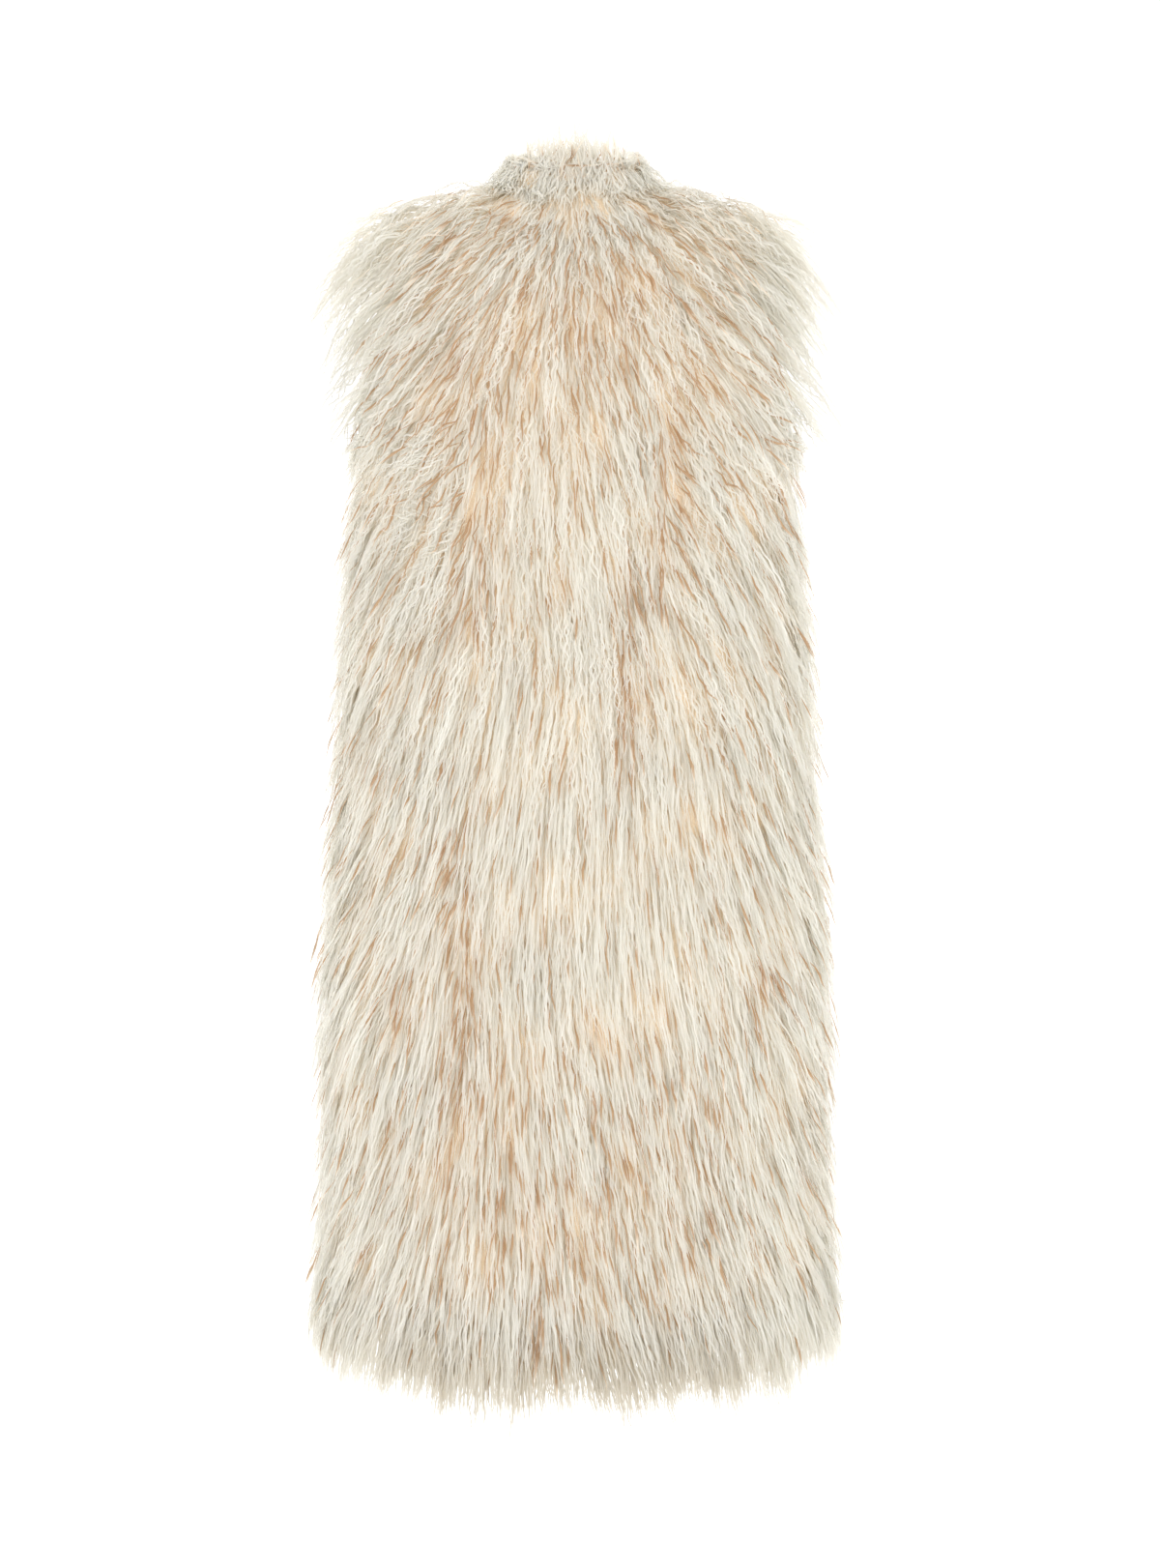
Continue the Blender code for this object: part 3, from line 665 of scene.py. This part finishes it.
def grow(locks, tree):
    """Walks each lock from its root along its comb direction, over the cloth and past its edges."""
    count = len(locks.root)
    path = np.zeros((count, GUIDE_STEPS + 1, 3))
    out = np.zeros((count, GUIDE_STEPS + 1, 3))
    shares = np.linspace(0, 1, GUIDE_STEPS + 1)
    height = locks.rise[:, None] * (1 - (1 - shares) ** locks.stand[:, None] + TIP_LIFT * shares**4)
    first = unit(locks.flow + ROOT_LIFT * locks.normal)
    for i in range(count):
        place, direction = Vector(locks.root[i]), Vector(first[i])
        comb, facing = Vector(locks.flow[i]), Vector(locks.normal[i])
        path[i, 0], out[i, 0] = place, facing
        step, past_edge = locks.length[i] / GUIDE_STEPS, False
        for k in range(1, GUIDE_STEPS + 1):
            fall = locks.pull[i] * (PULL_PAST_EDGE if past_edge else 1.0)
            direction = (direction * STIFFNESS + comb * COMBED + Vector((0, 0, -fall))).normalized()
            ahead = place + direction * step
            near, facing_near, _, _ = tree.find_nearest(ahead)
            apart = ahead - near
            past_edge = (apart - facing_near * apart.dot(facing_near)).length > EDGE_GAP
            if not past_edge:
                ahead = near + facing_near * height[i, k]
                facing = facing_near
            direction = (ahead - place).normalized()
            place = ahead
            path[i, k], out[i, k] = place, facing
    return path, out, height


def sample_path(path, share):
    """Values along each lock's path at the given shares of its length."""
    place = np.clip(share, 0, 1) * GUIDE_STEPS
    low = np.minimum(place.astype(int), GUIDE_STEPS - 1)
    part = (place - low)[..., None]
    rows = np.arange(len(path)).reshape((-1,) + (1,) * (share.ndim - 1))
    return path[rows, low] * (1 - part) + path[rows, low + 1] * part


def strand_lines(locks, layer, path, out):
    """The line of every strand: spread and staggered in its lock, crimped, and held in at the sides."""
    count, strands = len(path), layer.strands
    each, lock = (count, strands, 1, 1), (count, 1, 1, 1)
    length = locks.length.reshape(lock)
    share = np.linspace(0, 1, layer.steps + 1) * rng.uniform(*STRAND_LENGTH, (count, strands, 1))
    along = share[..., None]
    middle = sample_path(path, share)
    facing = unit(sample_path(out, share))
    tangent = unit(np.gradient(middle, axis=2))
    side = unit(np.cross(tangent, facing))
    facing = np.cross(side, tangent)
    gather = 1 - rng.uniform(*TIP_GATHER, lock) * along
    raised = rng.uniform(-1, 1, each) * LOCK_DEPTH * along
    place = middle + side * rng.uniform(-1, 1, each) * layer.half_width * gather
    place += facing * raised + tangent * rng.uniform(-1, 1, each) * LOCK_STAGGER * length
    turn = math.tau * along * length / layer.wave_length / rng.uniform(*WAVE_LENGTH_BY_LOCK, lock)
    turn = turn * rng.uniform(*WAVE_LENGTH_BY_STRAND, each) + rng.uniform(0, math.tau, lock)
    turn = turn + rng.uniform(*WAVE_START, each)
    size = smooth_step(*WAVE_GROWS, along) * layer.wave * rng.uniform(*WAVE_SIZE, lock)
    size = size * (1 + locks.ruffle).reshape(lock)
    place += size * (side * np.sin(turn) + WAVE_OUTWARD * facing * np.cos(turn))
    place += SLOW_WAVE * side * np.sin(turn * SLOW_WAVE_RATE + rng.uniform(0, math.tau, each)) * along
    beyond = np.maximum(np.abs(place[..., 0]) - SIDE_REACH, 0)
    place[..., 0] -= np.sign(place[..., 0]) * (beyond - SIDE_SOFTNESS * np.tanh(beyond / SIDE_SOFTNESS))
    return share, place, side, facing, raised


def strand_profile(layer):
    """A strand's width from root to tip, as a share of its full width."""
    shares = np.linspace(0, 1, layer.steps + 1)
    if layer.deep > 0:
        return smooth_step(*SLIT_OPENS, shares) * (1 - shares**SLIT_TAPER)
    widening = STRAND_ROOT + (1 - STRAND_ROOT) * smooth_step(*STRAND_FULL, shares)
    return (1 - shares**STRAND_TAPER) * widening


def strands_of(locks, layer, tree):
    """Every strand's ribbon: left and right edge points, edge normals, tone, and its place in the pile's
    depth, which the material paints as shade.
    """
    path, out, height = grow(locks, tree)
    share, place, side, facing, raised = strand_lines(locks, layer, path, out)
    count, strands, points = share.shape
    each, lock = (count, strands, 1, 1), (count, 1, 1)
    tangent = unit(np.gradient(place, axis=2))
    roll = rng.normal(0, STRAND_ROLL, each) + STRAND_ROLL * share[..., None] * rng.normal(size=each)
    edge = side * np.cos(roll) + facing * np.sin(roll)
    edge = unit(edge - tangent * (edge * tangent).sum(-1, keepdims=True))
    face = unit(np.cross(edge, tangent) + facing)
    wide = layer.width * rng.uniform(*STRAND_WIDTH, (count, strands, 1)) * strand_profile(layer)
    half = edge * (wide / 2)[..., None]
    # The lower a point lies in the pile, the lower its level and the darker its painted shade.
    above = (sample_path(height[..., None], share) + raised)[..., 0] / locks.full.reshape(lock)
    least = 0.0 if layer.deep > 0 else LEAST_PILE_LEVEL
    level = LEVEL_BY_HEIGHT * above + LEVEL_BY_LENGTH * share + locks.paler.reshape(lock)
    level = (1 - LEVEL_TO_TIP) * np.clip(level, least, 1) + LEVEL_TO_TIP * share
    tones = locks.tone.reshape(lock) + rng.normal(0, TONE_BY_STRAND, (count, strands, 1))
    tones = np.clip(tones + rng.normal(0, TONE_ALONG, share.shape), *TONE_ENDS)
    each_point = (count * strands, points)
    return Strands(
        left=(place - half).reshape(*each_point, 3),
        right=(place + half).reshape(*each_point, 3),
        left_normal=unit(face - EDGE_NORMAL * edge).reshape(*each_point, 3),
        right_normal=unit(face + EDGE_NORMAL * edge).reshape(*each_point, 3),
        tones=tones.reshape(each_point),
        levels=level.reshape(each_point),
    )


def strand_mesh(name, strands, material):
    """One mesh of ribbons, each a row of quads that ends in a point."""
    count, steps = len(strands.left), strands.left.shape[1] - 1
    per = 2 * steps + 1

    def woven(a, b):
        """Left and right values in turn along each ribbon, with one value at its tip."""
        both = np.stack([a, b], axis=2).reshape((count, per + 1) + a.shape[2:])
        both[:, -2] = (both[:, -2] + both[:, -1]) / 2
        return both[:, :-1]

    points = woven(strands.left, strands.right)
    normals = unit(woven(strands.left_normal, strands.right_normal))
    tone, level = woven(strands.tones, strands.tones), woven(strands.levels, strands.levels)
    base = np.arange(steps - 1) * 2
    quads = np.stack([base, base + 1, base + 3, base + 2], -1).reshape(-1)
    tip = np.array([per - 3, per - 2, per - 1])
    corners = (np.concatenate([quads, tip])[None] + np.arange(count)[:, None] * per).reshape(-1)
    sizes = np.tile(np.append(np.full(steps - 1, 4), 3), count)
    mesh = bpy.data.meshes.new(name)
    mesh.vertices.add(count * per)
    mesh.vertices.foreach_set("co", points.reshape(-1))
    mesh.loops.add(len(corners))
    mesh.loops.foreach_set("vertex_index", corners)
    mesh.polygons.add(len(sizes))
    mesh.polygons.foreach_set("loop_start", np.concatenate([[0], np.cumsum(sizes)[:-1]]))
    mesh.update(calc_edges=True)
    mesh.shade_smooth()
    # The level attribute carries the painted shade of the pile's depths.
    for label, values in (("tone", tone), ("level", level)):
        mesh.attributes.new(label, "FLOAT", "POINT").data.foreach_set("value", values.reshape(-1))
    across = np.append(np.tile([-UV_HALF_WIDTH, UV_HALF_WIDTH], steps), 0.0)
    uv = np.stack([tone + across, UV_MARGIN + (1 - 2 * UV_MARGIN) * level], -1).reshape(-1, 2)[corners]
    mesh.uv_layers.new(name="OFBake").data.foreach_set("uv", uv.reshape(-1))
    mesh.normals_split_custom_set_from_vertices(normals.reshape(-1, 3))
    mesh.materials.append(material)
    return add_object(name, mesh)


def new_material(name, roughness):
    """A material, its node tree and its shader node."""
    material = bpy.data.materials.new(name)
    material.use_nodes = True
    shader = material.node_tree.nodes["Principled BSDF"]
    shader.inputs["Roughness"].default_value = roughness
    return material, material.node_tree, shader


def add_node(tree, kind, inputs=(), **settings):
    """A shader node with its settings made, and each input given a value or joined to another node."""
    node = tree.nodes.new(kind)
    for key, value in settings.items():
        setattr(node, key, value)
    for socket, value in inputs:
        if isinstance(value, bpy.types.NodeSocket):
            tree.links.new(value, node.inputs[socket])
        else:
            node.inputs[socket].default_value = value
    return node


def ramp(tree, factor, places, colours):
    node = add_node(tree, "ShaderNodeValToRGB", [("Fac", factor)])
    while len(node.color_ramp.elements) < len(places):
        node.color_ramp.elements.new(0.5)
    for element, place, colour in zip(node.color_ramp.elements, places, colours):
        element.position, element.color = place, (*colour, 1.0)
    return node.outputs["Color"]


def fur_material(name):
    """Pile: painted shade by depth, brown deep between the locks, peach above that and cream on top, from
    warm to pale strands.
    """
    material, tree, shader = new_material(name, FUR_ROUGHNESS)
    shader.inputs["Specular IOR Level"].default_value = FUR_SPECULAR
    level = add_node(tree, "ShaderNodeAttribute", attribute_name="level").outputs["Fac"]
    tone = add_node(tree, "ShaderNodeAttribute", attribute_name="tone").outputs["Fac"]
    warm = ramp(tree, level, LEVELS, WARM_COLOURS)
    pale = ramp(tree, level, LEVELS, PALE_COLOURS)
    by_tone = [("Factor", tone), ("A", warm), ("B", pale)]
    colour = add_node(tree, "ShaderNodeMix", by_tone, data_type="RGBA").outputs["Result"]
    tree.links.new(colour, shader.inputs["Base Color"])
    tinted = [("Factor", 1.0), ("A", colour), ("B", FUR_THROUGH_TINT)]
    through = add_node(tree, "ShaderNodeMix", tinted, data_type="RGBA", blend_type="MULTIPLY")
    glow = add_node(tree, "ShaderNodeBsdfTranslucent", [("Color", through.outputs["Result"])])
    shares = [("Fac", FUR_THROUGH), (1, shader.outputs["BSDF"]), (2, glow.outputs["BSDF"])]
    both = add_node(tree, "ShaderNodeMixShader", shares)
    tree.links.new(both.outputs["Shader"], tree.nodes["Material Output"].inputs["Surface"])
    return material


def backing_material(backing):
    """Knitted backing: fine stitches and a soft mottle."""
    material, tree, shader = new_material(backing.name, BACKING_ROUGHNESS)
    shader.inputs["Sheen Weight"].default_value = BACKING_SHEEN
    where = ("Vector", add_node(tree, "ShaderNodeTexCoord").outputs["Object"])
    knit = add_node(tree, "ShaderNodeTexVoronoi", [where, ("Scale", backing.stitches)]).outputs["Distance"]
    soft = [where, ("Scale", MOTTLE_SCALE), ("Detail", MOTTLE_DETAIL)]
    mottle = add_node(tree, "ShaderNodeTexNoise", soft).outputs["Fac"]
    joined = [(0, knit), (1, mottle), (2, MOTTLE_BASE)]
    both = add_node(tree, "ShaderNodeMath", joined, operation="MULTIPLY_ADD")
    colour = ramp(tree, both.outputs["Value"], BACKING_STOPS, (backing.dark, backing.light))
    tree.links.new(colour, shader.inputs["Base Color"])
    raised = [("Height", knit), ("Strength", STITCH_BUMP), ("Distance", STITCH_HEIGHT)]
    bump = add_node(tree, "ShaderNodeBump", raised)
    tree.links.new(bump.outputs["Normal"], shader.inputs["Normal"])
    return material


def bvh_of(grids):
    """One search tree over every piece of cloth, faces turned outward."""
    points, faces, start = [], [], 0
    for grid, normal in grids:
        rows, columns = grid.shape[:2]
        flat = grid.reshape(-1, 3)
        quads = quads_of(np.arange(rows * columns).reshape(rows, columns))
        a, b, c = (flat[quads[:, k]] for k in range(3))
        turned = (np.cross(b - a, c - a) * normal[:-1, :-1].reshape(-1, 3)).sum(-1) < 0
        quads[turned] = quads[turned][:, ::-1]
        points.append(flat)
        faces += (start + quads).tolist()
        start += rows * columns
    return BVHTree.FromPolygons(np.concatenate(points).tolist(), faces)


def cloth_grids():
    """The inner points and outward directions of each piece of cloth, as grids."""
    grids = {}
    for panel in PANELS:
        columns = np.linspace(panel.first, panel.last, panel.columns + 1)
        s, v = np.meshgrid(columns, np.linspace(0, 1, PANEL_ROWS + 1))
        point = partial(cloth_point, panel)
        normal, _, _ = normals_of(point, s, v, panel_flip(panel))
        grids[panel.name] = (point(s, v), normal)
    columns = np.linspace(-COLLAR_END, COLLAR_END, COLLAR_COLUMNS + 1)
    turn, height = np.meshgrid(columns, np.linspace(0, 1, COLLAR_ROWS + 1))
    normal, _, _ = normals_of(collar_point, turn, height, 1.0)
    grids["collar"] = (collar_point(turn, height), normal)
    return grids


def grow_pile(grids):
    """The pieces of pile on each piece of cloth, one for each layer that roots there."""
    fur = fur_material("cream_long_pile")
    tree = bvh_of(grids.values())
    furs = {name: [] for name in grids}
    thinned = 1.0
    for layer in LAYERS:
        share = layer.share * thinned
        locks = {panel.name: panel_locks(panel, layer, int(panel.locks * share)) for panel in PANELS}
        if layer.top > 0:
            locks["collar"] = collar_locks(layer, int(COLLAR_LOCKS * share))
        for name, rooted in locks.items():
            strands = strands_of(rooted, layer, tree)
            furs[name].append(strand_mesh(f"fur_{name}_{layer.name}", strands, fur))
    return furs


def main():
    grids = cloth_grids()
    cloths = (backing_material(BACKING_OUTSIDE), backing_material(BACKING_INSIDE))
    shells = {name: shell("cloth_" + name, *grid, cloths) for name, grid in grids.items()}
    furs = grow_pile(grids)
    for name, (grid, _) in grids.items():
        for piece in [shells[name], *furs[name]]:
            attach(piece, "root")
        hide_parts(name)
        width, length, area = grid_size(grid)
        area = min(area, width * length)
        print(name, "flat", round(width, 3), round(length, 3), "area", round(area, 3))


def add_stage():
    """Pale floor, soft light from both sides of the coat, and a level camera behind it."""
    material, _, shader = new_material("floor", FLOOR_ROUGHNESS)
    shader.inputs["Base Color"].default_value = FLOOR_COLOUR
    corners = np.array([[-1, -1, 0], [1, -1, 0], [1, 1, 0], [-1, 1, 0]]) * FLOOR_HALF_SIZE
    floor = clean_mesh("floor", corners, [(0, 1, 2, 3)], (material,))
    floor.location.z = FLOOR_Z
    scene = bpy.context.scene
    scene.view_settings.view_transform = "Standard"
    scene.world = bpy.data.worlds.new("studio")
    scene.world.use_nodes = True
    background = scene.world.node_tree.nodes["Background"]
    background.inputs["Color"].default_value = WORLD_COLOUR
    background.inputs["Strength"].default_value = WORLD_STRENGTH
    for name, place in LAMP_PLACES.items():
        light = bpy.data.lights.new(name, "AREA")
        light.shape, light.size, light.energy = "DISK", LAMP_SIZE, LAMP_POWER
        lamp = add_object(name, light)
        lamp.location = place
        lamp.rotation_euler = (LAMP_TARGET - place).to_track_quat("-Z", "Y").to_euler()
    view = bpy.data.cameras.new("camera")
    view.lens, view.sensor_width = CAMERA_LENS, CAMERA_SENSOR
    scene.camera = add_object("camera", view)
    scene.camera.location = CAMERA_PLACE
    scene.camera.rotation_euler = (math.pi / 2, 0, 0)


main()
add_stage()
